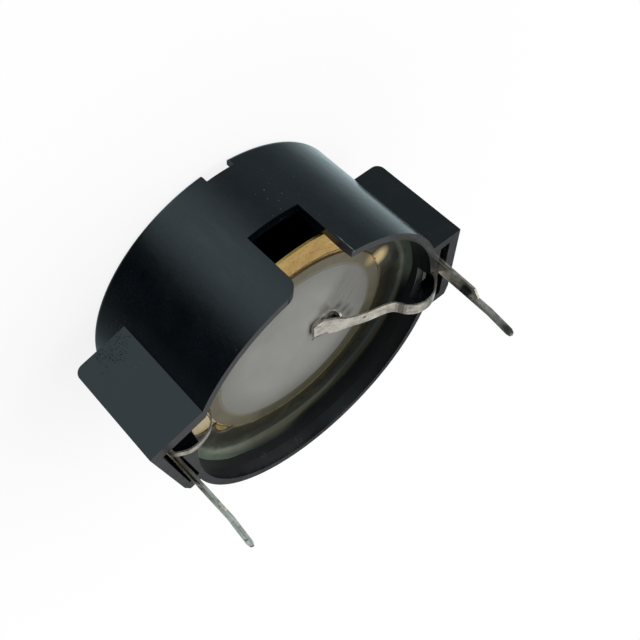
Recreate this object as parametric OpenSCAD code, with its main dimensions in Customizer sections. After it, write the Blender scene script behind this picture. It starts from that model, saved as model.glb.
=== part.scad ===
// Piezo buzzer: an open-backed resonator housing with a piezo disc and two spring contacts.
// The origin is the centre of the sound face. +Z points to the open back and the pins,
// +Y to the side window. All sizes are in millimetres.

/* [Piezo disc] */
// Diameter of the brass diaphragm
disc_d = 35; // [33:0.5:38]
// Thickness of the brass diaphragm
disc_t = 0.3; // [0.2:0.05:0.5]
// Diameter of the bare ceramic
ceramic_d = 26.6; // [25:0.1:28]
// Thickness of the ceramic
ceramic_t = 0.24; // [0.15:0.01:0.4]
// Diameter of the silver electrode
electrode_d = 22.8; // [21:0.1:24]
// Thickness of the fired silver layer
electrode_t = 0.03; // [0.02:0.01:0.06]

/* [Housing] */
// Gap between the edge of the disc and the wall
disc_clear = 0.3; // [0.15:0.05:0.6]
// Wall thickness
wall_t = 1.2; // [1:0.1:1.6]
// Height of the housing
housing_h = 18.5; // [17.5:0.5:21]
// How much the outer radius shrinks from the open back to the sound face
draft = 0.35; // [0.1:0.05:0.6]
// Height of the seat that carries the disc
seat_z = 13.73; // [12.5:0.01:14.4]
// Radial width of the seat
seat_w = 1.1; // [0.8:0.1:1.6]
// Axial height of the seat above its sloped root
seat_h = 0.9; // [0.6:0.1:1.5]
// Radius of the outer edge round the sound face
foot_r = 0.7; // [0.3:0.1:1]
// Radial width of the lead-in at the open back
lead_w = 0.25; // [0.1:0.05:0.45]
// Axial depth of the lead-in
lead_h = 1.6; // [0.8:0.1:2.2]

/* [Sound face] */
// Depth of the face below its rim
face_recess = 1.6; // [1.4:0.1:2.2]
// Thickness of the face
face_t = 1.3; // [1:0.1:2]
// Diameter of the sound hole
hole_d = 5; // [3:0.5:9]
// Wall of the short port round the sound hole
port_wall = 1.2; // [0.8:0.1:2]
// Width of the notch in the rim of the face
notch_w = 3.8; // [2:0.1:6]
// Depth of the notch
notch_h = 1.3; // [0.8:0.1:1.3]

/* [Side window] */
// Width of the window
window_w = 7.06; // [5:0.1:10]
// Height of its lower edge
window_z = 9.96; // [8:0.1:11.5]
// Radius of the rounded corner where one side of the window meets the open edge
window_corner_r = 1.8; // [1:0.1:2.4]

/* [Ears] */
// Length of the square ear along the wall
ear_l = 13; // [12.5:0.1:15]
// Length of the skewed ear
skew_ear_l = 13.6; // [12.5:0.1:15]
// Height of the lower end of the ears
ear_z = 4.6; // [4:0.1:7]
// How much the outer face of an ear leans in towards its lower end
ear_draft = 0.3; // [0.1:0.05:0.7]
// How much the sides of an ear lean in towards its lower end
ear_side_draft = 0.12; // [0.05:0.01:0.4]
// Radius of the outer edge at the lower end
ear_edge_r = 1.1; // [0.5:0.1:1.4]
// Chamfer of the outer corner away from the window
ear_chamfer = 1.4; // [0.8:0.1:2]
// Plastic outside the pocket of the square ear
ear_wall = 1.55; // [1.2:0.05:2]
// Plastic outside the pocket of the skewed ear
skew_wall = 1.15; // [0.8:0.05:1.6]
// How much thinner that wall is at the end away from the window
skew_lean = 0.3; // [0:0.05:0.5]
// Turn of the skewed ear about its pocket, in degrees
skew_a = 16.3; // [10:0.1:18]

/* [Pockets] */
// Offset of both pockets towards the window
pocket_y = 0.5; // [0:0.1:1]
// Length of a pocket
pocket_l = 10.4; // [10:0.1:11]
// Width of a pocket
pocket_w = 1.5; // [1.45:0.05:1.7]
// Plastic under the pockets
pocket_floor = 1.5; // [1:0.1:2.5]
// Depth of the passages from the pockets into the housing
gate_h = 1.9; // [1.4:0.1:2.4]
// Width of the square ear's passage
gate_w = 6; // [4.5:0.1:6.5]
// Width of the skewed ear's passage
skew_gate_w = 3.6; // [3:0.1:4.5]

/* [Contacts] */
// Distance of the middle of each pin outside the wall
pin_off = 0.78; // [0.7:0.02:1.2]
// Thickness of the pins, folded from sheet
pin_t = 0.75; // [0.6:0.05:0.9]
// Thickness of the sheet in the wide part of the pins
tab_t = 0.3; // [0.2:0.05:0.4]
// Thickness of the flap that stands in front of it
flap_t = 0.2; // [0.15:0.05:0.25]
// Width of the pins below their shoulder
blade_w = 1.75; // [1.2:0.05:2.2]
// Width of the solder ends
tip_w = 0.65; // [0.5:0.05:0.9]
// Height of the shoulder of the centre contact over the open back
shoulder_h = 5.4; // [4:0.1:8]
// Height of its pin end over the open back
pin_h = 12.3; // [9:0.1:15]
// Height of the shoulder of the rim contact over the open back
rim_shoulder_h = 5.6; // [4:0.1:8]
// Height of its pin end over the open back
rim_pin_h = 11.3; // [9:0.1:15]
// Height of the flaps over the open back
flap_h = 3; // [2:0.1:3.6]
// How far the solder ends are bent over at their tips
tip_bend = 0.28; // [0:0.02:0.4]
// Thickness of the spring strips
spring_t = 0.2; // [0.15:0.01:0.25]
// Width of the strip that reaches the electrode
spring_w = 1.9; // [1.5:0.1:2.2]
// Width of the strip that reaches the diaphragm
rim_spring_w = 0.8; // [0.6:0.1:1.2]
// Distance of its foot from the edge of the diaphragm
rim_land = 2.6; // [1.5:0.1:2.8]
// Length of the base plates in the pockets
base_l = 8; // [6:0.5:9.5]
// Depth of the base plates below the open back
base_drop = 2.2; // [1.5:0.1:3]

/* [Sealant] */
// Radial width of the sealant over the edge of the diaphragm
seal_w = 3.2; // [2:0.1:3.4]
// Thickness of its inner edge
seal_t = 0.15; // [0.1:0.05:0.3]
// Height that it climbs up the wall
seal_climb = 1; // [0.5:0.1:1.6]

/* [Hidden] */

// Overlap that lets a cut run past the face that it opens
over = 1;
inner_r = disc_d / 2 + disc_clear;
outer_r = inner_r + wall_t;
disc_top = seat_z + disc_t;
ceramic_top = disc_top + ceramic_t;
electrode_top = ceramic_top + electrode_t;
face_in = face_recess + face_t;
pin_x = outer_r + pin_off;
// Heights of the pocket floor and of the passage floor
pocket_z = ear_z + pocket_floor;
gate_z = housing_h - gate_h;
// Lower edge of each pin along its pocket, from the pocket's middle
center_pin_y = 0.27;
rim_pin_y = -3.23;
// Middle of the rim contact's strip on Y
rim_strip_y = 3;
// Bare patch of brass left round the rim contact's foot
bay_r = 1.2;
// Middles of the pockets on X
pocket_x = pin_x + 0.1;
skew_pocket_x = pin_x + 0.53;

function arc(c, r, a0, a1, n = 8) = [for (i = [0:n]) let (a = a0 + (a1 - a0) * i / n) c + r * [cos(a), sin(a)]];
function bezier(p, n) = [for (i = [1:n]) let (t = i / n, s = 1 - t)
    s*s*s * p[0] + 3*s*s*t * p[1] + 3*s*t*t * p[2] + t*t*t * p[3]];
function unit(v) = v / norm(v);
// Direction of a path of points at point i, taken over its two neighbours
function heading(path, i) = unit(path[min(i + 1, len(path) - 1)] - path[max(i - 1, 0)]);

// ---- Housing: one moulding with both ears ----

// Outer form of the cup, with the edge round the sound face rounded. It and the ears run past
// the open back, where one cut makes their common plane
module cup_outside() {
    rotate_extrude($fn = 180)
        polygon(concat([[0, 0]],
            arc([outer_r - draft - foot_r, foot_r], foot_r, -90, 0),
            [[outer_r + draft * over / (housing_h - foot_r), housing_h + over], [0, housing_h + over]]));
}

// Space behind the face: cavity, seat for the disc, straight wall and lead-in
module cup_inside() {
    rotate_extrude($fn = 180)
        polygon([[0, face_in], [inner_r - draft, face_in], [inner_r - draft, seat_z - seat_h - seat_w],
            [inner_r - seat_w, seat_z - seat_h], [inner_r - seat_w, seat_z], [inner_r, seat_z],
            [inner_r, housing_h - lead_h], [inner_r + lead_w, housing_h],
            [inner_r + lead_w, housing_h + over], [0, housing_h + over]]);
}

// Recess of the sound face round its port, the sound hole and the notch in the rim
module face_cuts() {
    difference() {
        translate([0, 0, -over]) cylinder(r = inner_r - draft, h = face_recess + over, $fn = 180);
        cylinder(d = hole_d + 2 * port_wall, h = face_in, $fn = 64);
    }
    translate([0, 0, -over]) cylinder(d = hole_d, h = face_in + 2 * over, $fn = 48);
    translate([-notch_w / 2, 0, -over]) cube([notch_w, outer_r + over, notch_h + over]);
}

// Window from the open edge down, one of its edge corners rounded
module window_cut() {
    half = window_w / 2;
    r = window_corner_r;
    translate([0, outer_r + over, 0]) rotate([90, 0, 0])
        linear_extrude(outer_r + over - (inner_r - seat_w - over))
            polygon(concat([[half, window_z], [half, housing_h + over], [-half - r, housing_h + over]],
                arc([-half - r, housing_h - r], r, 90, 0), [[-half, window_z]]));
}

// Block of an ear, upright, with its pocket centred on the origin: a plan outline, trimmed by a
// side profile and an end profile, which give the draft and the rounded lower edge.
// out is the distance from the pocket's middle to the outer face, l the length, and lean how much
// nearer the outer face is at the end away from the window
module ear_block(out, l, lean) {
    half = l / 2;
    inward = 6.2;
    c = ear_chamfer;
    h = housing_h - ear_z;
    top = h + over;
    r = ear_edge_r;
    d = ear_draft;
    side = ear_side_draft;
    intersection() {
        translate([0, 0, ear_z]) linear_extrude(top)
            polygon([[-inward, -half - over], [out - lean - 0.45 * c * (half + over) / half, -half - over],
                [out - lean, -half + c], [out + lean * over / l, half + over], [-inward, half + over]]);
        translate([0, half + over, ear_z]) rotate([90, 0, 0]) linear_extrude(l + 2 * over)
            polygon(concat([[-inward - over, 0]], arc([out - d - r, r], r, -90, 0),
                [[out + d * over / (h - r), top], [-inward - over, top]]));
        translate([-inward - over, 0, ear_z]) rotate([90, 0, 90]) linear_extrude(out + inward + 2 * over)
            polygon([[-half + side, 0], [half - side, 0], [half + side * over / h, top],
                [-half - side * over / h, top]]);
    }
}

// Pocket for a contact, and its passage into the housing from y0 on, w wide
module ear_cuts(y0, w) {
    translate([-pocket_w / 2, -pocket_l / 2, pocket_z])
        cube([pocket_w, pocket_l, housing_h - pocket_z + over]);
    translate([-6.5, y0, gate_z]) cube([6.5, w, gate_h + over]);
}

module at_square_ear() { translate([pocket_x, pocket_y, 0]) children(); }

module at_skewed_pocket() { translate([-skew_pocket_x, pocket_y, 0]) rotate([0, 0, skew_a]) children(); }

// The skewed ear is the square one mirrored and turned about its pocket
module at_skewed_ear() { at_skewed_pocket() mirror([1, 0, 0]) children(); }

module housing() {
    color([0.14, 0.17, 0.19]) difference() {
        union() {
            cup_outside();
            at_square_ear() ear_block(pocket_w / 2 + ear_wall, ear_l, 0);
            at_skewed_ear() ear_block(pocket_w / 2 + skew_wall, skew_ear_l, skew_lean);
        }
        translate([0, 0, housing_h]) cylinder(r = outer_r + 20, h = 2 * over, $fn = 48);
        cup_inside();
        face_cuts();
        window_cut();
        at_square_ear() ear_cuts(-pocket_l / 2, gate_w);
        at_skewed_ear() ear_cuts(pocket_l / 2 - skew_gate_w, skew_gate_w);
    }
}

// ---- Piezo disc and its seal ----

module diaphragm() {
    color([0.8, 0.65, 0.37]) translate([0, 0, seat_z]) cylinder(d = disc_d, h = disc_t, $fn = 180);
}

module ceramic() {
    color([0.5, 0.48, 0.4]) translate([0, 0, disc_top]) cylinder(d = ceramic_d, h = ceramic_t, $fn = 180);
}

module electrode() {
    color([0.66, 0.65, 0.63]) translate([0, 0, ceramic_top])
        cylinder(d = electrode_d, h = electrode_t, $fn = 180);
}

// Arc of the seal from angle a0 to a1: a thin skirt on the brass that climbs the wall
module seal_arc(a0, a1) {
    foot = inner_r - disc_clear - seal_w;
    rotate([0, 0, a0]) rotate_extrude(angle = a1 - a0, $fn = 120)
        polygon(concat([[foot, disc_top], [inner_r, disc_top], [inner_r, disc_top + seal_climb]],
            bezier([[inner_r, disc_top + seal_climb], [inner_r - seal_t, disc_top + 2.2 * seal_t],
                [inner_r - 6 * seal_t, disc_top + 1.4 * seal_t], [foot + 1.3 * seal_t, disc_top + seal_t]],
                8)));
}

// The seal stops at the window and leaves bare brass round the foot of the rim contact
module sealant() {
    gap = asin((window_w / 2 + disc_clear) / inner_r);
    land_r = disc_d / 2 - rim_land;
    color([0.4, 0.38, 0.27]) difference() {
        seal_arc(90 + gap - 360, 90 - gap);
        rotate([0, 0, 180 - asin(rim_strip_y / land_r)]) translate([land_r, 0, seat_z])
            cylinder(r = bay_r, h = housing_h, $fn = 48);
    }
}

// ---- Contacts: one folded strip each ----

// Outline in the XZ plane, extruded along Y from y0 to y1
module along_y(y0, y1) { translate([0, y1, 0]) rotate([90, 0, 0]) linear_extrude(y1 - y0) children(); }

// Base plate in the pocket with the pin on it: a solder end folded double, a tab with a sloped
// shoulder beside it, and a flap in front whose end leans on the tab. Its faces look along X,
// the flap's at x = 0; y0 is the pin's lower edge
module stamping(y0, shoulder, top) {
    s = housing_h + shoulder;
    e = housing_h + top;
    f = housing_h + flap_h;
    b = tip_bend;
    tab_x = pin_t - tab_t;
    translate([0, -base_l / 2, pocket_z]) cube([pin_t, base_l, housing_h - base_drop - pocket_z]);
    translate([0, y0, 0]) {
        along_y(0, tip_w)
            polygon([[0, pocket_z], [pin_t, pocket_z], [pin_t, e - 4], [pin_t - b, e - 0.5],
                [pin_t - b - 0.25, e], [-b + 0.1, e - 0.15], [-b, e - 0.6], [0, e - 4]]);
        translate([tab_x, 0, 0]) rotate([90, 0, 90]) linear_extrude(tab_t)
            polygon([[0, pocket_z], [blade_w, pocket_z], [blade_w, s], [tip_w, s + 0.9], [0, s + 0.9]]);
        along_y(tip_w - 0.1, blade_w + 0.2)
            polygon([[0, pocket_z], [flap_t, pocket_z], [flap_t, f - 1.3], [tab_x, f - 0.3], [tab_x, f],
                [tab_x - 0.05, f], [0, f - 1.2]]);
    }
}

// Smooth line through all points of p, n steps between each two
function spline(p, n) = let (m = len(p) - 1)
    concat([p[0]], [for (i = [0:m - 1]) let (
        t0 = i > 0 ? (p[i + 1] - p[i - 1]) / 6 : (p[1] - p[0]) / 3,
        t1 = i < m - 1 ? (p[i + 2] - p[i]) / 6 : (p[m] - p[m - 1]) / 3)
        each bezier([p[i], p[i] + t0, p[i + 1] - t1, p[i + 1]], n)]);

// Outline of a strip of thickness t along a path
function ribbon(path, t) = let (n = len(path),
        side = [for (i = [0:n - 1]) let (h = heading(path, i)) t / 2 * [-h[1], h[0]]])
    concat([for (i = [0:n - 1]) path[i] + side[i]], [for (i = [n - 1:-1:0]) path[i] - side[i]]);

// Strip of width w along a path in the XZ plane, its middle at y
module strip(path, y, w) {
    translate([0, y + w / 2, 0]) rotate([90, 0, 0]) linear_extrude(w) polygon(ribbon(path, spring_t));
}

// Middle line of the centre contact's strip: it rises over the open edge, dips to the disc, folds
// under at its tip and curls up at its end
function center_path() = let (
        h = housing_h,
        w = inner_r,
        e = electrode_top,
        foot = e + spring_t / 2,
        fold_r = 0.25,
        curl_r = 0.8)
    concat(spline([[pin_x, h - base_drop - 0.3], [pin_x - 0.1, h - 0.6], [w + 0.9, h + 0.45],
            [w - 0.4, h + 1.55], [w - 1.8, h + 2.1], [w - 3.4, h + 1.95], [w - 4.7, h + 1.1],
            [w - 5.9, h - 0.35], [8.6, h - 1.3], [6.1, e + 1.9], [4.25, e + 0.95],
            [2.9, foot + 2 * fold_r]], 5),
        arc([2.6, foot + fold_r], fold_r, 105, 270, 7),
        arc([5.1, foot + curl_r], curl_r, -90, 5, 6));

module center_contact() {
    color([0.72, 0.71, 0.68]) {
        translate([pin_x - pin_t / 2, pocket_y, 0]) stamping(center_pin_y, shoulder_h, pin_h);
        strip(center_path(), 0, spring_w);
    }
}

// Middle line of the rim contact's strip: out of the pocket, over the wall and down to bare brass
function rim_path() = let (
        h = housing_h,
        x = -skew_pocket_x - (rim_strip_y - pocket_y) * tan(skew_a),
        w = -inner_r,
        land = -sqrt(pow(disc_d / 2 - rim_land, 2) - pow(rim_strip_y, 2)))
    concat(spline([[x, h - base_drop - 0.3], [x + 0.05, h - 1.2], [w - 2.87, h - 0.48], [w - 1.77, h + 0.14],
            [w - 0.88, h + 0.32], [w - 0.17, h + 0.28], [w + 0.81, h + 0.06], [w + 1.67, h - 0.28],
            [w + 2.35, h - 0.77], [w + 2.9, h - 1.52], [land + 0.15, h - 2.36], [land + 0.2, h - 3.1],
            [land, disc_top + 0.4]], 4), [[land, disc_top]]);

module rim_contact() {
    color([0.72, 0.71, 0.68]) {
        at_skewed_pocket() translate([-pin_t / 2, 0, 0]) stamping(rim_pin_y, rim_shoulder_h, rim_pin_h);
        strip(rim_path(), rim_strip_y, rim_spring_w);
    }
}

housing();
diaphragm();
ceramic();
electrode();
sealant();
center_contact();
rim_contact();
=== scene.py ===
import bpy
import numpy as np
from mathutils import Matrix


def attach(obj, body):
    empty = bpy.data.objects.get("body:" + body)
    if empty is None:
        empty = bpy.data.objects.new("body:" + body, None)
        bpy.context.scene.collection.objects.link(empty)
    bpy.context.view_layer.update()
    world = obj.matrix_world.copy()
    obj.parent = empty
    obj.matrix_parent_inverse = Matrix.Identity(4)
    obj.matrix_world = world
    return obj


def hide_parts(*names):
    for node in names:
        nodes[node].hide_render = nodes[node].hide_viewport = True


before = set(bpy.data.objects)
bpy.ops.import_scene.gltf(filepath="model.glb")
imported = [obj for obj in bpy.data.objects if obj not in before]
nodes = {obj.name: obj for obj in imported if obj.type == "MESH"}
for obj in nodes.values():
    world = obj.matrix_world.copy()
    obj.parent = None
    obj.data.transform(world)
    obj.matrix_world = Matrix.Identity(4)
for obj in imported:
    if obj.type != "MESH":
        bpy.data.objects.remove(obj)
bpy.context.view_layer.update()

# ---- Housing ----
# One moulding in black ABS: a cup that is the resonance chamber, with two ears that hold the
# contacts. Polished steel formed the wall, so it mirrors the room softly; dust sits on it.

MM = 0.001                    # object coordinates are metres, sizes and places here are mm
LUMPS = 500                   # LUMPS / size is the Scale of a noise whose lumps are about size mm wide
CELLS = 1000                  # CELLS / size is the Scale of a Voronoi whose cells are size mm wide
CORE_R = 18.0                 # the core formed every face nearer to the axis than this
PALE_LINE_X = 3.85                # x of a thin pale line beside the window


def rgba(colour):
    """Linear colour of an sRGB hex value. A number is a linear grey already."""
    if not isinstance(colour, str):
        return (colour, colour, colour, 1.0)
    c = np.array([int(colour[i:i + 2], 16) for i in (0, 2, 4)]) / 255
    lin = np.where(c <= 0.04045, c / 12.92, ((c + 0.055) / 1.055) ** 2.4)
    return (*lin.tolist(), 1.0)


def add(mat, kind, *values, stops=(), **given):
    """Adds a node. values go to its live inputs in order; given names inputs, with _ for a space, or in
    small letters its properties; stops are a ramp's places and colours. A value is a number, a hex
    colour, a socket to link or a node, which stands for its first live output."""
    n = mat.node_tree.nodes.new("ShaderNode" + kind)
    for key, value in given.items():
        if key[0].islower():
            setattr(n, key, value)
    entries = list(zip([s for s in n.inputs if s.enabled], values))
    entries += [(n.inputs[k.replace("_", " ")], v) for k, v in given.items() if k[0].isupper()]
    for entry, value in entries:
        if isinstance(value, bpy.types.Node):
            value = next(s for s in value.outputs if s.enabled)
        if isinstance(value, bpy.types.NodeSocket):
            mat.node_tree.links.new(value, entry)
        else:
            entry.default_value = rgba(value) if isinstance(value, str) else value
    for i, (place, colour) in enumerate(stops):
        elements = n.color_ramp.elements
        stop = elements[i] if i < 2 else elements.new(place)
        stop.position = place
        stop.color = rgba(colour)
    return n


def new_material(name):
    """Empty node material and its object coordinates, which are metres."""
    mat = bpy.data.materials.new(name)
    mat.use_nodes = True
    mat.node_tree.nodes.clear()
    return mat, add(mat, "TexCoord").outputs["Object"]


def near(mat, pos, place, inner, outer):
    """1 within inner mm of a place in mm, falling to 0 at outer mm."""
    away = add(mat, "VectorMath", pos, tuple(v * MM for v in place), operation="DISTANCE")
    return add(mat, "MapRange", away, inner * MM, outer * MM, 1.0, 0.0)


def from_axis(mat, pos):
    """Distance from the axis of the cup in metres: the length of (x, y)."""
    x, y, _ = add(mat, "SeparateXYZ", pos).outputs
    flat = add(mat, "CombineXYZ", x, y)
    return add(mat, "VectorMath", flat, operation="LENGTH")


def stained(mat, colour, mark, share, ink):
    """The colour, changed into ink by share where mark is 1."""
    if share < 1:
        mark = add(mat, "Math", mark, share, operation="MULTIPLY")
    return add(mat, "Mix", mark, colour, ink, data_type="RGBA")


def finish(mat, shader):
    add(mat, "OutputMaterial", shader)
    return mat


def dress(node, mat):
    o = nodes[node]
    o.data.materials.clear()
    o.data.materials.append(mat)


def moulded_abs():
    """Black ABS: soft mirror of the room, 0.1 mm grain, faint clouds, drag lines, dust and pits."""
    mat, pos = new_material("moulded_abs_black")
    # cloudy gloss keeps the reflections from looking like glass; the mould's own grain is finer, and
    # is drawn 0.1 mm wide so that it shows
    cloud = add(mat, "TexNoise", pos, 0, LUMPS / 1.6, 4, 0.6, noise_dimensions="4D")
    grain = add(mat, "TexNoise", pos, 1, LUMPS / 0.11, 2, 0.6, noise_dimensions="4D")
    # drag lines along the draw of the mould, 0.3 mm apart
    drawn = add(mat, "Mapping", pos, Scale=(1.0, 1.0, 0.05))
    drag = add(mat, "TexNoise", drawn, 2, LUMPS / 0.3, 2, 0.5, noise_dimensions="4D")
    colour = add(mat, "ValToRGB", cloud, stops=[(0.3, "03070C"), (0.7, "070E14")])
    # pale dust: small dots, a cell 0.9 mm wide for each, where a wide noise lets them settle
    dots = add(mat, "TexVoronoi", pos, CELLS / 0.9, Randomness=1.0)
    dots = add(mat, "MapRange", dots, 0.05, 0.11, 1.0, 0.0)
    settle = add(mat, "TexNoise", pos, 3, LUMPS / 4, 2, 0.5, noise_dimensions="4D")
    settle = add(mat, "MapRange", settle, 0.58, 0.7)
    dust = add(mat, "Math", dots, settle, operation="MULTIPLY")
    colour = stained(mat, colour, dust, 0.5, "7C8482")
    # grey smear, lighter than the plastic, in two patches drawn out along the wall
    smear = add(mat, "Mapping", pos, Scale=(1.0, 1.0, 0.16))
    smear = add(mat, "TexNoise", smear, 6, LUMPS / 0.7, 4, 0.6, noise_dimensions="4D")
    smear = add(mat, "MapRange", smear, 0.48, 0.7)
    ball = near(mat, pos, (-4.3, 18.3, 6.8), 1.0, 4.5)
    tip = near(mat, pos, (-6.4, 17.7, 12.2), 0.5, 3.0)
    smear_patches = add(mat, "Math", ball, tip, operation="MAXIMUM")
    smear = add(mat, "Math", smear, smear_patches, operation="MULTIPLY")
    colour = stained(mat, colour, smear, 0.5, "2C363B")
    # thin pale line beside the window: up on the outer face only
    x, y, z = add(mat, "SeparateXYZ", pos).outputs
    off = add(mat, "Math", x, PALE_LINE_X * MM, operation="SUBTRACT")
    off = add(mat, "Math", off, operation="ABSOLUTE")
    pale_line = add(mat, "MapRange", off, 0.03 * MM, 0.08 * MM, 1.0, 0.0)
    high = add(mat, "MapRange", z, 15.5 * MM, 16.5 * MM)
    outer = add(mat, "MapRange", y, 18.2 * MM, 18.3 * MM)
    broken = add(mat, "TexNoise", pos, 7, LUMPS / 0.4, 2, 0.5, noise_dimensions="4D")
    broken = add(mat, "MapRange", broken, 0.4, 0.6, 0.1, 0.6)
    for limit in (high, outer, broken):
        pale_line = add(mat, "Math", pale_line, limit, operation="MULTIPLY")
    colour = stained(mat, colour, pale_line, 1, "858C8C")
    # the core side is matt, and so is the dust
    rough = add(mat, "MapRange", cloud, 0.3, 0.7, 0.18, 0.26)
    dusty = add(mat, "Math", dust, 0.3, operation="MULTIPLY")
    grainy = add(mat, "MapRange", grain, 0.35, 0.65, -0.03, 0.05)
    core = add(mat, "MapRange", from_axis(mat, pos), (CORE_R - 0.05) * MM, (CORE_R + 0.05) * MM, 1.0, 0.0)
    core = add(mat, "Math", core, 0.12, operation="MULTIPLY")
    for more in (dusty, grainy, core):
        rough = add(mat, "Math", rough, more, operation="ADD")
    # a few scuffs on the core side, left by the tool that spread the glue
    left = near(mat, pos, (-7.2, -16.3, 16.9), 0.1, 0.7)
    middle = near(mat, pos, (-2.1, -17.7, 17.7), 0.1, 0.8)
    scuff = add(mat, "Math", left, middle, operation="MAXIMUM")
    scratch = add(mat, "TexNoise", pos, 5, LUMPS / 0.13, 4, 0.65, noise_dimensions="4D")
    scratch = add(mat, "MapRange", scratch, 0.53, 0.62)
    scuff = add(mat, "Math", scuff, scratch, operation="MULTIPLY")
    colour = stained(mat, colour, scuff, 0.45, "6C7779")
    bump = add(mat, "Bump", Strength=0.25, Distance=0.012 * MM, Height=grain)
    bump = add(mat, "Bump", Strength=0.2, Distance=0.02 * MM, Height=drag, Normal=bump)
    bump = add(mat, "Bump", Strength=0.25, Distance=0.12 * MM, Height=cloud, Normal=bump)
    # pits along the lower edge of the rim contact's ear, where the mould filled last
    pit = add(mat, "TexVoronoi", pos, CELLS / 0.2, Randomness=1.0)
    pit = add(mat, "MapRange", pit, 0.15, 0.3, 1.0, 0.0)
    where = near(mat, pos, (-18.9, 7.9, 4.9), 1.0, 4.8)
    ragged = add(mat, "TexNoise", pos, 4, LUMPS / 0.6, 2, 0.5, noise_dimensions="4D")
    ragged = add(mat, "MapRange", ragged, 0.4, 0.7, -0.5, 0.4)
    where = add(mat, "Math", where, ragged, operation="ADD")
    where = add(mat, "MapRange", where, 0.45, 0.6)
    pit = add(mat, "Math", pit, where, operation="MULTIPLY")
    bump = add(mat, "Bump", Strength=0.9, Distance=0.12 * MM, Height=pit, Normal=bump, invert=True)
    colour = stained(mat, colour, pit, 0.8, "050709")
    skin = add(mat, "BsdfPrincipled", colour, Roughness=rough, IOR=1.53, Normal=bump)
    return finish(mat, skin)


dress("housing", moulded_abs())

# ---- Piezo disc ----
# A thin brass plate carries a fired ceramic disc, which is silvered on top. The plate is cold
# rolled and a little tarnished, the ceramic is matt and earthy, and the silver is dull grey.

PLATE_TOP = 14.03             # height of the brass in the cup
SILVER_TOP = 14.3
SILVER_R = 11.4
FLUX_R = (13.45, 13.9)        # the dried edge of the flux wanders between these


def rolled_brass():
    """Cold-rolled brass: lengthwise rolling lines, faint stains and the dried edge of the flux."""
    mat, pos = new_material("rolled_brass")
    blotch = add(mat, "TexNoise", pos, 0, LUMPS / 1.1, 5, 0.6, noise_dimensions="4D")
    fine = add(mat, "Mapping", pos, Scale=(1.0, 0.06, 1.0))
    lines = add(mat, "TexNoise", fine, 1, LUMPS / 0.06, 2, 0.5, noise_dimensions="4D")
    colour = add(mat, "ValToRGB", blotch, stops=[(0.32, "B3935A"), (0.5, "C9A560"), (0.7, "D6B46F")])
    speck = add(mat, "TexNoise", pos, 3, LUMPS / 0.14, 3, 0.6, noise_dimensions="4D")
    speck = add(mat, "MapRange", speck, 0.57, 0.66)
    colour = stained(mat, colour, speck, 0.7, "6E4E22")
    # painted reflection of bright sky: a pale cream patch in the bare spot next to the rim contact's foot
    painted_sky_reflection = near(mat, pos, (-14.5, -3.5, PLATE_TOP), 1.2, 3.6)
    colour = stained(mat, colour, painted_sky_reflection, 1, "DCCDA4")
    # dried flux: a brown line, and inside it a pale strip, partly painted light over a dark reflection
    wander = add(mat, "TexNoise", pos, 2, LUMPS / 1.6, 2, 0.5, noise_dimensions="4D")
    wander = add(mat, "MapRange", wander, 0.3, 0.7, FLUX_R[0] * MM, FLUX_R[1] * MM)
    off = add(mat, "Math", from_axis(mat, pos), wander, operation="SUBTRACT")
    pale_strip_and_painted_light = add(mat, "MapRange", off, -0.22 * MM, -0.08 * MM, 0.0, 0.75)
    cut = add(mat, "MapRange", off, -0.05 * MM, 0.0, 1.0, 0.0)
    pale_strip_and_painted_light = add(mat, "Math", pale_strip_and_painted_light, cut, operation="MULTIPLY")
    colour = stained(mat, colour, pale_strip_and_painted_light, 1, "F0DDAE")
    flux = add(mat, "Math", off, operation="ABSOLUTE")
    flux = add(mat, "MapRange", flux, 0.05 * MM, 0.11 * MM, 1.0, 0.0)
    colour = stained(mat, colour, flux, 0.9, "3E2E16")
    dull = add(mat, "MapRange", blotch, 0.3, 0.7, 0.36, 0.24)
    ribbed = add(mat, "MapRange", lines, 0.3, 0.7, -0.04, 0.06)
    rough = add(mat, "Math", dull, ribbed, operation="ADD")
    bump = add(mat, "Bump", Strength=0.2, Distance=0.01 * MM, Height=lines)
    metal = add(mat, "BsdfPrincipled", colour, Metallic=1.0, Roughness=rough, Normal=bump)
    return finish(mat, metal)


def fired_ceramic():
    """Unglazed lead zirconate titanate: khaki, mottled, with the silver's pale haze at its edge."""
    mat, pos = new_material("fired_piezo_ceramic")
    mottle = add(mat, "TexNoise", pos, 0, LUMPS / 0.7, 6, 0.65, noise_dimensions="4D")
    speck = add(mat, "TexNoise", pos, 1, LUMPS / 0.09, 3, 0.6, noise_dimensions="4D")
    colour = add(mat, "ValToRGB", mottle, stops=[(0.3, "464129"), (0.7, "585237")])
    dark = add(mat, "MapRange", speck, 0.5, 0.75, 0.0, 0.35)
    colour = stained(mat, colour, dark, 1, "35311F")
    haze = add(mat, "MapRange", from_axis(mat, pos), SILVER_R * MM, (SILVER_R + 0.5) * MM, 0.4, 0.0)
    colour = stained(mat, colour, haze, 1, "85847A")
    # the glue has crept over the rim as a thin dark film, away from the window
    film = near(mat, pos, (4.7, -11.7, PLATE_TOP), 9.8, 11.8)
    colour = stained(mat, colour, film, 0.55, "1E1B10")
    # and by the window it stands clear and thick on the rim, which looks like honey
    honey = near(mat, pos, (12, 6, 14.25), 0.4, 1.6)
    colour = stained(mat, colour, honey, 0.7, "B79E66")
    bump = add(mat, "Bump", Strength=0.25, Distance=0.02 * MM, Height=speck)
    fired = add(mat, "BsdfPrincipled", colour, Roughness=0.36, IOR=1.6, Normal=bump)
    return finish(mat, fired)


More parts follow.
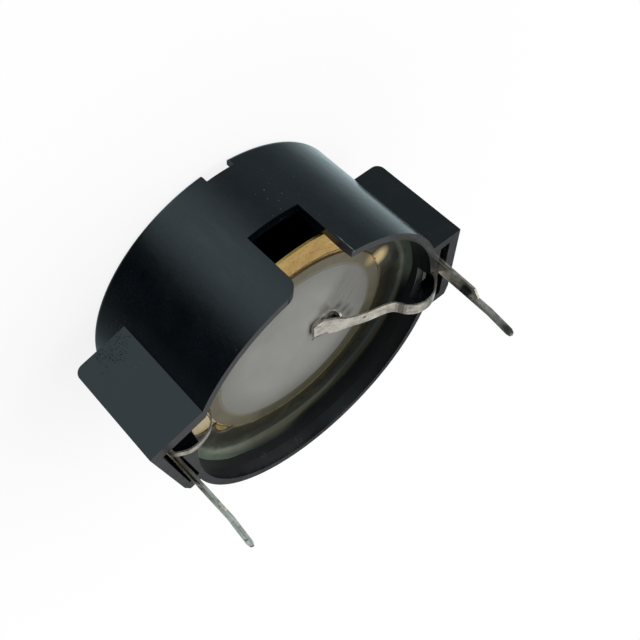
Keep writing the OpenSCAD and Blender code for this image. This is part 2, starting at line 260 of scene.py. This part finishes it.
def fired_silver():
    """Screen-printed silver paste, fired: a dull grey metal skin with print grain and faint smears."""
    mat, pos = new_material("fired_silver_paste")
    grain = add(mat, "TexNoise", pos, 0, LUMPS / 0.12, 3, 0.6, noise_dimensions="4D")
    cloud = add(mat, "TexNoise", pos, 1, LUMPS / 2.8, 4, 0.55, noise_dimensions="4D")
    colour = add(mat, "ValToRGB", cloud, stops=[(0.3, "8E8E89"), (0.7, "9A9A95")])
    # thin tarnish toward the print's edge and small dark pin marks, about 1.3 mm apart
    tarnish = add(mat, "MapRange", from_axis(mat, pos), 7.5 * MM, 11.5 * MM, 0.0, 0.5)
    colour = stained(mat, colour, tarnish, 1, "66655D")
    pin = add(mat, "TexVoronoi", pos, CELLS / 1.3, Randomness=1.0)
    pin = add(mat, "MapRange", pin, 0.03, 0.07, 1.0, 0.0)
    some = add(mat, "MapRange", cloud, 0.47, 0.54)
    pin = add(mat, "Math", pin, some, operation="MULTIPLY")
    colour = stained(mat, colour, pin, 0.6, "4A4944")
    # wipe strokes across the print, strongest near the tongue
    wiped = add(mat, "VectorRotate", pos, rotation_type="Z_AXIS", Angle=0.6)
    wiped = add(mat, "Mapping", wiped, Scale=(1.0, 0.08, 1.0))
    wiped = add(mat, "TexNoise", wiped, 3, LUMPS / 0.3, 4, 0.6, noise_dimensions="4D")
    wiped = add(mat, "MapRange", wiped, 0.5, 0.68)
    beside = near(mat, pos, (9, 3, SILVER_TOP), 1.0, 6.0)
    wiped = add(mat, "Math", wiped, beside, operation="MULTIPLY")
    colour = stained(mat, colour, wiped, 0.6, "5E5D57")
    # painted dark reflection and shadow of the tongue in three spots beside its tip, and one nick
    tongue_reflection_and_shadow = near(mat, pos, (6.7, 0.9, SILVER_TOP), 0.2, 1.0)
    for x, y in ((7.8, -0.8), (8.6, -2.5)):
        spot = near(mat, pos, (x, y, SILVER_TOP), 0.2, 1.2)
        tongue_reflection_and_shadow = add(mat, "Math", tongue_reflection_and_shadow, spot, operation="MAXIMUM")
    uneven = add(mat, "TexNoise", pos, 2, LUMPS / 0.4, 4, 0.6, noise_dimensions="4D")
    uneven = add(mat, "MapRange", uneven, 0.3, 0.55, 0.45, 1.0)
    tongue_reflection_and_shadow = add(mat, "Math", tongue_reflection_and_shadow, uneven, operation="MULTIPLY")
    colour = stained(mat, colour, tongue_reflection_and_shadow, 0.75, "3C3B37")
    nick = near(mat, pos, (2.8, -2.5, SILVER_TOP), 0.1, 0.3)
    colour = stained(mat, colour, nick, 1, "4A4944")
    rough = add(mat, "MapRange", cloud, 0.3, 0.7, 0.34, 0.44)
    bump = add(mat, "Bump", Strength=0.2, Distance=0.012 * MM, Height=grain)
    skin = add(mat, "BsdfPrincipled", colour, Metallic=0.6, Roughness=rough, Normal=bump)
    return finish(mat, skin)


dress("diaphragm", rolled_brass())
dress("ceramic", fired_ceramic())
dress("electrode", fired_silver())

# ---- Sealant ----
# Clear adhesive run round the brass plate by hand. It creeps to the ceramic's edge, leaves a few
# bare spots, wets the wall and climbs it in a hollow curve.

CERAMIC_R = 13.3
BORE_R = 17.8                 # inside of the cup's wall
WALL_R = 17.79                # the run ends just short of it
FILM = 0.2                    # mean thickness on the brass
CLIMB = 1.3                   # mean height up the wall
HOLLOW = 0.3                  # distance over which the climb falls away, and the edge rounds over
RUN = (-256.0, 62.0)          # degrees: from one side of the window round to the other
SPOTS = [                     # bare brass: middle and half width in degrees, width in mm
    (-191.6, 9.0, 3.4), (-164.5, 10.0, 2.9), (-145.0, 9.0, 1.0), (-120.0, 3.0, 0.25), (-40.0, 5.0, 0.15)]


def waves(a, parts):
    """Sum of sines of the angle a in degrees; parts are (turns per circle, height, shift)."""
    t = np.radians(a)
    return sum(h * np.sin(n * t + s) for n, h, s in parts)


def mesh_object(name, points, faces):
    """Mesh object at the origin from points in mm."""
    me = bpy.data.meshes.new(name)
    me.from_pydata((np.asarray(points) / 1000).tolist(), [], [tuple(f) for f in faces])
    me.shade_smooth()
    me.set_sharp_from_angle(angle=0.7)
    o = bpy.data.objects.new(name, me)
    bpy.context.scene.collection.objects.link(o)
    return o


def seal_points(count=420, across=22):
    """Loops round the section, one for each angle. The top runs from the inner edge at radius e to the
    wall: its height is the film, which rises as a quarter ellipse within HOLLOW of the edge, plus the
    meniscus, which falls with the distance d from the wall as the climb times exp(-d / HOLLOW)."""
    a = np.linspace(*RUN, count)[:, None]
    edge = CERAMIC_R + 0.04 + np.abs(waves(a, [(9, 0.03, 0), (23, 0.03, 1), (57, 0.015, 2)]))
    for middle, half, width in SPOTS:
        u = np.clip(np.abs(a - middle) / half, 0, 1)
        edge = np.maximum(edge, CERAMIC_R + width * (1 - u ** 2.2) ** 0.8)
    # the run narrows and thins over its last 6 degrees
    ends = np.minimum(a - RUN[0], RUN[1] - a) / 6
    edge = edge + 3.6 * np.clip(1 - ends, 0, 1) ** 2
    climb = CLIMB + waves(a, [(3, 0.12, 0.4), (8, 0.08, 2), (19, 0.04, 1)])
    climb = climb * np.clip(ends * 2, 0.15, 1)
    s = np.linspace(0, 1, across)[None, :]
    r = edge + (WALL_R - edge) * (0.5 - 0.5 * np.cos(np.pi * s)) ** 0.9
    lift = np.clip((r - edge) / HOLLOW, 0, 1)
    film = FILM + waves(a, [(5, 0.015, 1), (14, 0.012, 0)]) + 0.02 * np.sin(2.1 * r + np.radians(a) * 6)
    z = film * np.sqrt(1 - (1 - lift) ** 2) + climb * np.exp(-(WALL_R - r) / HOLLOW)
    loop_r = np.concatenate([r, r[:, -1:], r[:, :1]], axis=1)
    loop_z = np.concatenate([z, np.zeros((count, 2))], axis=1)
    t = np.radians(a)
    return np.stack([loop_r * np.cos(t), loop_r * np.sin(t), PLATE_TOP + loop_z], axis=2)


def skin_faces(rows, cols):
    """Quads between loops of cols points, and a cap at each end."""
    i, j = np.meshgrid(np.arange(rows - 1), np.arange(cols), indexing="ij")
    k = (j + 1) % cols
    quads = np.stack([i * cols + j, i * cols + k, (i + 1) * cols + k, (i + 1) * cols + j], axis=2)
    first = list(range(cols))[::-1]
    last = list(range((rows - 1) * cols, rows * cols))
    return quads.reshape(-1, 4).tolist() + [first, last]


def cured_adhesive():
    """Clear adhesive over tarnished brass: dark olive, honey at the thin edge, grey-green up the wall."""
    mat, pos = new_material("cured_clear_adhesive")
    flow = add(mat, "TexNoise", pos, 0, LUMPS / 1.2, 4, 0.55, noise_dimensions="4D")
    # across the run, from the ceramic to the wall, with a wander of 0.4 mm
    shift = add(mat, "MapRange", flow, 0.3, 0.7, -0.4 * MM, 0.4 * MM)
    out = add(mat, "Math", from_axis(mat, pos), shift, operation="ADD")
    out = add(mat, "MapRange", out, CERAMIC_R * MM, BORE_R * MM)
    colour = add(mat, "ValToRGB", out, stops=[
        (0.0, "453F24"), (0.12, "28261A"), (0.45, "1C1D18"), (0.75, "232620"), (0.93, "2C3231"),
        (1.0, "262D2F")])
    thin = add(mat, "MapRange", flow, 0.5, 0.72, 0.0, 0.4)
    colour = stained(mat, colour, thin, 1, "45422E")
    # where the film is thin and clear the brass glows through, with one dark pin hole
    glow = near(mat, pos, (12.87, 5.2, 14.25), 0.8, 1.9)
    veil = add(mat, "MapRange", flow, 0.3, 0.5, 0.6, 1.0)
    glow = add(mat, "Math", glow, veil, operation="MULTIPLY")
    colour = stained(mat, colour, glow, 1, "D3BC86")
    # away from the window, on the centre contact's side, a bluish reflection is painted near the wall,
    # and its skin up the wall is drawn thin over the black; by both contacts a pale reflection is painted
    # there
    x, y, z = add(mat, "SeparateXYZ", pos).outputs
    centre_side = add(mat, "MapRange", x, -6 * MM, 2 * MM)
    back = add(mat, "MapRange", y, -5 * MM, -1 * MM, 1.0, 0.0)
    blue_side = add(mat, "Math", centre_side, back, operation="MULTIPLY")
    # painted bluish reflection of the room, near the wall
    painted_bluish_reflection = add(mat, "MapRange", out, 0.6, 0.9)
    painted_bluish_reflection = add(mat, "Math", painted_bluish_reflection, blue_side, operation="MULTIPLY")
    colour = stained(mat, colour, painted_bluish_reflection, 0.7, "1F292E")
    # painted pale reflection of the room up the wall, by both contacts
    by_rim_contact = add(mat, "MapRange", x, -13 * MM, -7 * MM, 1.0, 0.0)
    by_centre_contact = near(mat, pos, (17.5, 3, 14.2), 3.5, 7.0)
    painted_pale_reflection = add(mat, "Math", by_rim_contact, by_centre_contact, operation="MAXIMUM")
    by_wall = add(mat, "MapRange", out, 0.74, 0.95)
    painted_pale_reflection = add(mat, "Math", by_wall, painted_pale_reflection, operation="MULTIPLY")
    colour = stained(mat, colour, painted_pale_reflection, 0.8, "5B675A")
    high = add(mat, "MapRange", z, 14.35 * MM, 14.7 * MM)
    high = add(mat, "Math", high, blue_side, operation="MULTIPLY")
    colour = stained(mat, colour, high, 1, "0A1014")
    pin_hole = near(mat, pos, (12.43, 5.27, 14.2), 0.08, 0.2)
    colour = stained(mat, colour, pin_hole, 1, "3A2A12")
    bump = add(mat, "Bump", Strength=0.35, Distance=0.12 * MM, Height=flow)
    # the reflection is weak and slightly yellow, as the adhesive itself is
    skin = add(mat, "BsdfPrincipled", colour, Roughness=0.24, IOR=1.42, Specular_IOR_Level=0.4,
               Specular_Tint="FFF9CB", Normal=bump)
    return finish(mat, skin)


ring = seal_points()
seal = mesh_object("glue_run", ring.reshape(-1, 3), skin_faces(*ring.shape[:2]))
seal.data.materials.append(cured_adhesive())
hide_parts("sealant")
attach(seal, "root")

# ---- Contacts ----
# Each is stamped from tin-plated bronze strip and folded: base, blade pin, flap and a springy
# tongue that presses on the disc. Tin is soft grey-white and shows fine rolling lines.

TIP_T = 0.25                  # thickness of the tip, which covers the 0.2 mm strip
STRIP_HALF = 0.96             # half width where it starts, just over the strip's
PADDLE_HALF = 1.42            # half width where the tip is spread
TONGUE = [                    # middle line of the tongue's end: x and z
    (7.01, 16.6), (6.55, 16.4), (6.1, 16.2), (5.68, 15.99), (5.3, 15.79), (4.92, 15.585), (4.58, 15.4),
    (4.25, 15.25), (3.95, 15.14), (3.67, 15.07), (3.42, 15.01), (3.16, 14.96), (2.9, 14.9)]
SLOPE = (0.39, 13.77)         # the tongue's middle is nearly the line z = 0.39 x + 13.77


def tinned_bronze():
    """Dull tin plate: clouded, with 0.05 mm rolling lines along the strip and dark handling marks."""
    mat, pos = new_material("tinned_bronze")
    x, y, z = add(mat, "SeparateXYZ", pos).outputs
    drawn = add(mat, "Mapping", pos, Scale=(1.0, 1.0, 0.04))
    roll = add(mat, "TexNoise", drawn, 0, LUMPS / 0.05, 2, 0.5, noise_dimensions="4D")
    cloud = add(mat, "TexNoise", pos, 1, LUMPS / 0.6, 4, 0.6, noise_dimensions="4D")
    colour = add(mat, "ValToRGB", cloud, stops=[(0.3, "96938A"), (0.55, "C9C4B9"), (0.75, "D8D4CA")])
    # solder ends: drawn streaks and dark flecks from the plating rack, above the cup only
    up = add(mat, "MapRange", z, 18.8 * MM, 19.8 * MM)
    streak = add(mat, "Mapping", pos, Scale=(1.0, 1.0, 0.03))
    streak = add(mat, "TexNoise", streak, 3, LUMPS / 0.2, 3, 0.6, noise_dimensions="4D")
    streak = add(mat, "MapRange", streak, 0.42, 0.62, 0.5, 0.0)
    streak = add(mat, "Math", streak, up, operation="MULTIPLY")
    colour = stained(mat, colour, streak, 1, "5E5B52")
    fleck = add(mat, "TexNoise", pos, 4, LUMPS / 0.12, 3, 0.6, noise_dimensions="4D")
    fleck = add(mat, "MapRange", fleck, 0.56, 0.64)
    fleck = add(mat, "Math", fleck, up, operation="MULTIPLY")
    colour = stained(mat, colour, fleck, 0.6, "48463E")
    # painted dark reflection on the flap of the centre contact's pin, and painted shade on its end
    flap_reflection = near(mat, pos, (19.7, 1.4, 22.9), 0.6, 1.0)
    pin_end_shade = near(mat, pos, (19.3, 1.4, 29.9), 0.3, 1.6)
    painted_reflection_and_shade = add(mat, "Math", flap_reflection, pin_end_shade, operation="MAXIMUM")
    colour = stained(mat, colour, painted_reflection_and_shade, 0.85, "191C1F")
    # burnt flux in the bend of the tip, and one speck of it on the tongue
    burnt = near(mat, pos, (2.9, -1.3, 14.9), 0.1, 0.7)
    crust = add(mat, "TexNoise", pos, 5, LUMPS / 0.15, 3, 0.6, noise_dimensions="4D")
    crust = add(mat, "MapRange", crust, 0.4, 0.55)
    burnt = add(mat, "Math", burnt, crust, operation="MULTIPLY")
    colour = stained(mat, colour, burnt, 0.85, "2C2820")
    speck = near(mat, pos, (8.35, 0.2, 17.22), 0.1, 0.26)
    colour = stained(mat, colour, speck, 1, "35302A")
    # handling marks, darker and duller than the plate
    mark = add(mat, "TexNoise", pos, 2, LUMPS / 0.35, 3, 0.6, noise_dimensions="4D")
    mark = add(mat, "MapRange", mark, 0.62, 0.72)
    colour = stained(mat, colour, mark, 0.6, "55554F")
    rolled = add(mat, "MapRange", roll, 0.3, 0.7, 0.24, 0.36)
    duller = add(mat, "Math", mark, 0.2, operation="MULTIPLY")
    rough = add(mat, "Math", rolled, duller, operation="ADD")
    bump = add(mat, "Bump", Strength=0.3, Distance=0.008 * MM, Height=roll)
    bump = add(mat, "Bump", Strength=0.3, Distance=0.05 * MM, Height=cloud, Normal=bump)
    # painted shade in the folds, from ambient occlusion
    folds = add(mat, "AmbientOcclusion", samples=8, Distance=0.5 * MM)
    painted_fold_shade = add(mat, "MapRange", folds.outputs["AO"], 0.15, 0.45, 0.9, 0.0)
    colour = stained(mat, colour, painted_fold_shade, 1, "14130F")
    # painted shade inside the folded tip: well under the tongue, away from its open side
    line = add(mat, "Math", x, SLOPE[0], SLOPE[1] * MM, operation="MULTIPLY_ADD")
    below = add(mat, "Math", line, z, operation="SUBTRACT")
    below = add(mat, "MapRange", below, 0.2 * MM, 0.3 * MM)
    inner = add(mat, "MapRange", y, 0.55 * MM, 0.85 * MM, 1.0, 0.0)
    behind_bend = add(mat, "MapRange", x, 2.9 * MM, 3.1 * MM)
    before_curl = add(mat, "MapRange", x, 6.1 * MM, 6.3 * MM, 1.0, 0.0)
    for limit in (below, behind_bend, before_curl):
        inner = add(mat, "Math", inner, limit, operation="MULTIPLY")
    colour = stained(mat, colour, inner, 1, "100F0C")
    plate = add(mat, "BsdfPrincipled", colour, Metallic=0.8, Roughness=rough, Normal=bump)
    return finish(mat, plate)


tin = tinned_bronze()
dress("center_contact", tin)
dress("rim_contact", tin)


def tip_points(across=17):
    """Loops round the section of the folded tip, one for each point of its middle line: down the tongue,
    round a hairpin bend of radius 0.25, back along the silver and up in a curl of radius 0.8. The half
    width w grows from STRIP_HALF on the tongue to PADDLE_HALF. The bend has round corners: a line at
    distance y from the middle starts back by 1.1 * ((|y| - 0.9) / 0.52) ** 2, which fades out 1.6 mm
    behind the bend."""
    bend = np.radians(np.linspace(105, 270, 11))
    curl = np.radians(np.linspace(-90, 5, 9))
    line = np.concatenate([
        TONGUE,
        np.stack([2.6 + 0.25 * np.cos(bend), 14.65 + 0.25 * np.sin(bend)], axis=1),
        [(3.0, 14.4), (3.4, 14.4), (3.8, 14.4), (4.2, 14.4), (4.6, 14.4)],
        np.stack([5.1 + 0.8 * np.cos(curl), 15.2 + 0.8 * np.sin(curl)], axis=1),
        [(5.9, 15.5), (5.85, 15.75)]])
    ahead = np.gradient(line, axis=0)
    ahead /= np.linalg.norm(ahead, axis=1)[:, None]
    count = len(line)
    u = np.clip((6.7 - line[:, 0]) / 1.9, 0, 1)
    on_tongue = np.arange(count) < len(TONGUE)
    w = np.where(on_tongue, STRIP_HALF + (PADDLE_HALF - STRIP_HALF) * u * u * (3 - 2 * u), PADDLE_HALF)
    w[-4:] = (1.41, 1.38, 1.3, 1.12)
    y = w[:, None] * np.sin(np.linspace(-np.pi / 2, np.pi / 2, across))[None, :]
    back = 1.1 * (np.clip(np.abs(y) - 0.9, 0, 1) / 0.52) ** 2 * np.clip((4.2 - line[:, :1]) / 1.6, 0, 1)
    # the first two loops stand only just proud of the strip, so that no step shows
    half = np.where(np.arange(count) < 2, 0.106, TIP_T / 2)[:, None]
    sides = []
    for turn in (1, -1):
        x = line[:, :1] + back - turn * half * ahead[:, 1:]
        z = line[:, 1:] + turn * half * ahead[:, :1] + 0 * y
        sides.append(np.stack([x, y, z], axis=2))
    return np.concatenate([sides[0], sides[1][:, ::-1]], axis=1)


loops = tip_points()
tip = mesh_object("tongue_tip", loops.reshape(-1, 3), skin_faces(*loops.shape[:2]))
tip.data.materials.append(tin)
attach(tip, "root")

# ---- Stage ----
# A pale table and a soft studio. The room that glossy surfaces mirror has two bright panels, one
# on the window's side and one behind the centre contact, with dark cloth between them; the rest
# is even light.

FLOOR_HALF = 0.9
corners = [(-FLOOR_HALF, -FLOOR_HALF, 0), (FLOOR_HALF, -FLOOR_HALF, 0), (FLOOR_HALF, FLOOR_HALF, 0),
           (-FLOOR_HALF, FLOOR_HALF, 0)]
floor_mesh = bpy.data.meshes.new("floor")
floor_mesh.from_pydata(corners, [], [(0, 1, 2, 3)])
floor = bpy.data.objects.new("floor", floor_mesh)
bpy.context.scene.collection.objects.link(floor)
floor.location.z = -0.1 * MM
floor.visible_glossy = False


def pale_floor():
    """White to the camera, with the shadow kept near the object; plain pale grey to other light."""
    mat, pos = new_material("pale_floor")
    paint = add(mat, "BsdfDiffuse", rgba(0.82))
    white = add(mat, "Emission", "FFFFFF", 1.0)
    share = add(mat, "MapRange", from_axis(mat, pos), 30 * MM, 75 * MM, 0.86, 1.0)
    path = add(mat, "LightPath").outputs
    seen = add(mat, "Math", path["Is Camera Ray"], path["Is Transmission Ray"], operation="MAXIMUM")
    part = add(mat, "Math", seen, share, operation="MULTIPLY")
    return finish(mat, add(mat, "MixShader", part, paint, white))


floor_mesh.materials.append(pale_floor())

PANELS = [                    # the room's brightness round the object: degrees from +X toward +Y
    (-180, 0.03), (-150, 0.15), (-120, 0.33), (-80, 0.45), (-42, 1.1), (-22, 0.8), (-10, 0.56), (0, 0.33),
    (16, 0.25), (28, 0.24), (38, 0.32), (68, 0.25), (86, 0.75), (98, 1.0), (116, 1.0), (132, 0.5),
    (142, 0.1), (155, 0.02), (180, 0.03)]
SKY = [(0.335, 0.04), (0.375, 0.3), (0.42, 0.9), (0.55, 0.85), (1.0, 0.6)]    # by height of the view
COOL = (0.8, 1.0, 1.06, 1)    # the panels' light is slightly blue

world = bpy.data.worlds.new("studio")
bpy.context.scene.world = world
world.use_nodes = True
world.node_tree.nodes.clear()
world.cycles.sampling_method = "NONE"
way = add(world, "SeparateXYZ", add(world, "TexCoord").outputs["Generated"]).outputs
turn = add(world, "Math", way["Y"], way["X"], operation="ARCTAN2")
turn = add(world, "MapRange", turn, -np.pi, np.pi)
panels = add(world, "ValToRGB", turn, stops=[((angle + 180) / 360, grey) for angle, grey in PANELS])
panels = add(world, "Mix", 1.0, panels, COOL, data_type="RGBA", blend_type="MULTIPLY")
sky = add(world, "ValToRGB", add(world, "MapRange", way["Z"], 0.0, 1.0), stops=SKY)
overhead = add(world, "MapRange", way["Z"], -0.05, 0.2)
room = add(world, "Mix", overhead, panels, sky, data_type="RGBA")
mirrored = add(world, "Background", room, 1.0)
even = add(world, "Background", "FFFFFF", 0.55)
white = add(world, "Background", "FFFFFF", 1.0)
path = add(world, "LightPath").outputs
lit = add(world, "MixShader", path["Is Glossy Ray"], even, mirrored)
seen = add(world, "Math", path["Is Camera Ray"], path["Is Transmission Ray"], operation="MAXIMUM")
add(world, "OutputWorld", add(world, "MixShader", seen, lit, white))


def placed(o, x, y, z, at):
    """Puts a light or camera in the scene, with its own axes x, y and z, at a place in metres."""
    m = np.eye(4)
    m[:3, 0], m[:3, 1], m[:3, 2], m[:3, 3] = x, y, z, at
    o.matrix_world = Matrix(m.tolist())
    bpy.context.scene.collection.objects.link(o)


def lamp(name, at, size, power):
    """Square soft lamp that faces the object."""
    light = bpy.data.lights.new(name, "AREA")
    light.size = size
    light.energy = power
    z = np.array(at) / np.linalg.norm(at)
    x = np.cross((0, 0, 1), z)
    x /= np.linalg.norm(x)
    placed(bpy.data.objects.new(name, light), x, np.cross(z, x), z, at)


lamp("key", (0.3, 0.1, 0.34), 0.9, 3.5)

# ---- Camera ----
# A 65 mm lens 142 mm from the foot of the cup, looking down into it from the side of the window.
# RIGHT, DOWN and AHEAD are its own axes as unit vectors.

EYE = np.array((-50.177, 114.820, 67.330)) * MM
RIGHT = np.array((0.7414201, 0.03927578, 0.66989077))
DOWN = np.array((-0.54307609, -0.5512637, 0.63338511))
AHEAD = np.array((0.39416316, -0.83340611, -0.38738825))
FOCAL = 1155.75               # pixels, in an image 640 pixels wide

lens = bpy.data.cameras.new("camera")
lens.sensor_width = 36
lens.lens = FOCAL / 640 * lens.sensor_width
lens.clip_start = 1 * MM
camera = bpy.data.objects.new("camera", lens)
placed(camera, RIGHT, -DOWN, -AHEAD, EYE)
bpy.context.scene.camera = camera
bpy.context.scene.view_settings.view_transform = "Standard"
